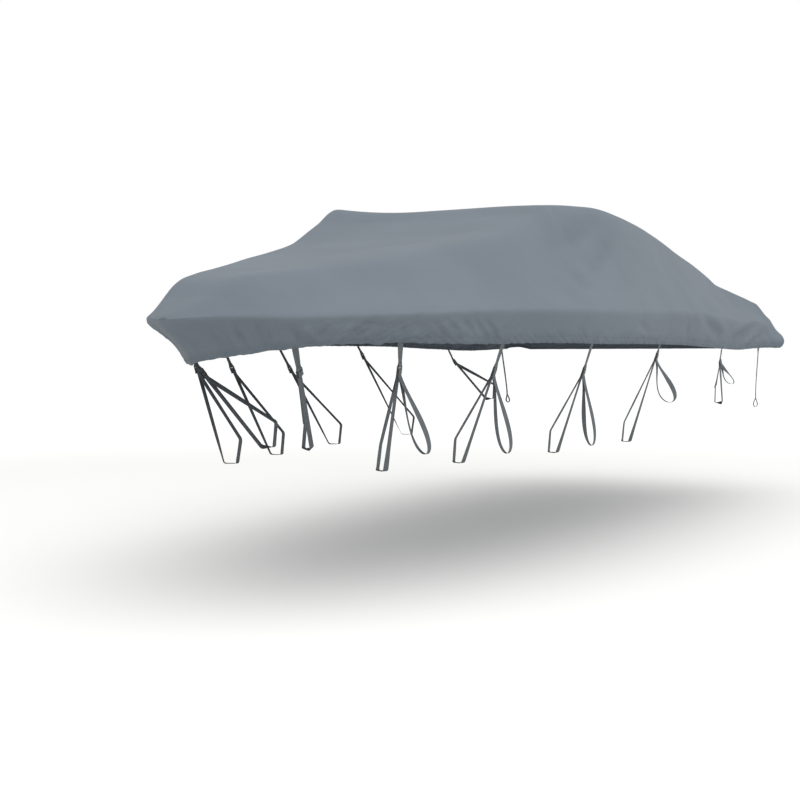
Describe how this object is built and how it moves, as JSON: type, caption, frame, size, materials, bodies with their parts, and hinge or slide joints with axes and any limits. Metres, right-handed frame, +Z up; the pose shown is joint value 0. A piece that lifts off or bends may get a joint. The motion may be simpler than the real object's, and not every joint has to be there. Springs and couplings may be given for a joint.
{
  "type": "boat cover",
  "caption": "Fitted grey cloth cover for a small runabout, stretched over bow, windshield and stern, with webbing tie-downs along its hem.",
  "frame": {"origin": "the underside of the top, on the centreline at the windshield's upper edge, where the boat holds the cover up", "axes": "+X aft, towards the stern; +Y to starboard; +Z up"},
  "size_m": [5.3628, 2.0262, 1.2068],
  "materials": {
    "cloth": "matt coated polyester, plain woven, mid grey",
    "webbing": "matt polypropylene webbing, dark grey",
    "buckle": "moulded acetal, black, slightly satin"
  },
  "bodies": {
    "root": {"cover": "cloth", "port_strap_1_tab": "webbing", "port_strap_1_buckle": "buckle", "port_strap_1_loop": "webbing", "port_strap_2_tab": "webbing", "port_strap_2_buckle": "buckle", "port_strap_2_loop": "webbing", "port_strap_2_tail": "webbing", "port_strap_3_tab": "webbing", "port_strap_3_buckle": "buckle", "port_strap_3_loop": "webbing", "port_strap_3_tail": "webbing", "port_strap_4_tab": "webbing", "port_strap_4_buckle": "buckle", "port_strap_4_loop": "webbing", "port_strap_4_tail": "webbing", "port_strap_5_tab": "webbing", "port_strap_5_buckle": "buckle", "port_strap_5_loop": "webbing", "port_strap_5_tail": "webbing", "port_strap_6_tab": "webbing", "port_strap_6_buckle": "buckle", "port_strap_6_loop": "webbing", "port_strap_6_tail": "webbing", "port_strap_7": "webbing", "starboard_strap_1_tab": "webbing", "starboard_strap_1_buckle": "buckle", "starboard_strap_1_loop": "webbing", "starboard_strap_2_tab": "webbing", "starboard_strap_2_buckle": "buckle", "starboard_strap_2_loop": "webbing", "starboard_strap_3_tab": "webbing", "starboard_strap_3_buckle": "buckle", "starboard_strap_3_loop": "webbing", "starboard_strap_4_tab": "webbing", "starboard_strap_4_buckle": "buckle", "starboard_strap_4_loop": "webbing", "starboard_strap_5_tab": "webbing", "starboard_strap_5_buckle": "buckle", "starboard_strap_5_loop": "webbing", "starboard_strap_6_tab": "webbing", "starboard_strap_6_buckle": "buckle", "starboard_strap_6_loop": "webbing", "starboard_strap_7": "webbing"}
  },
  "joints": []
}
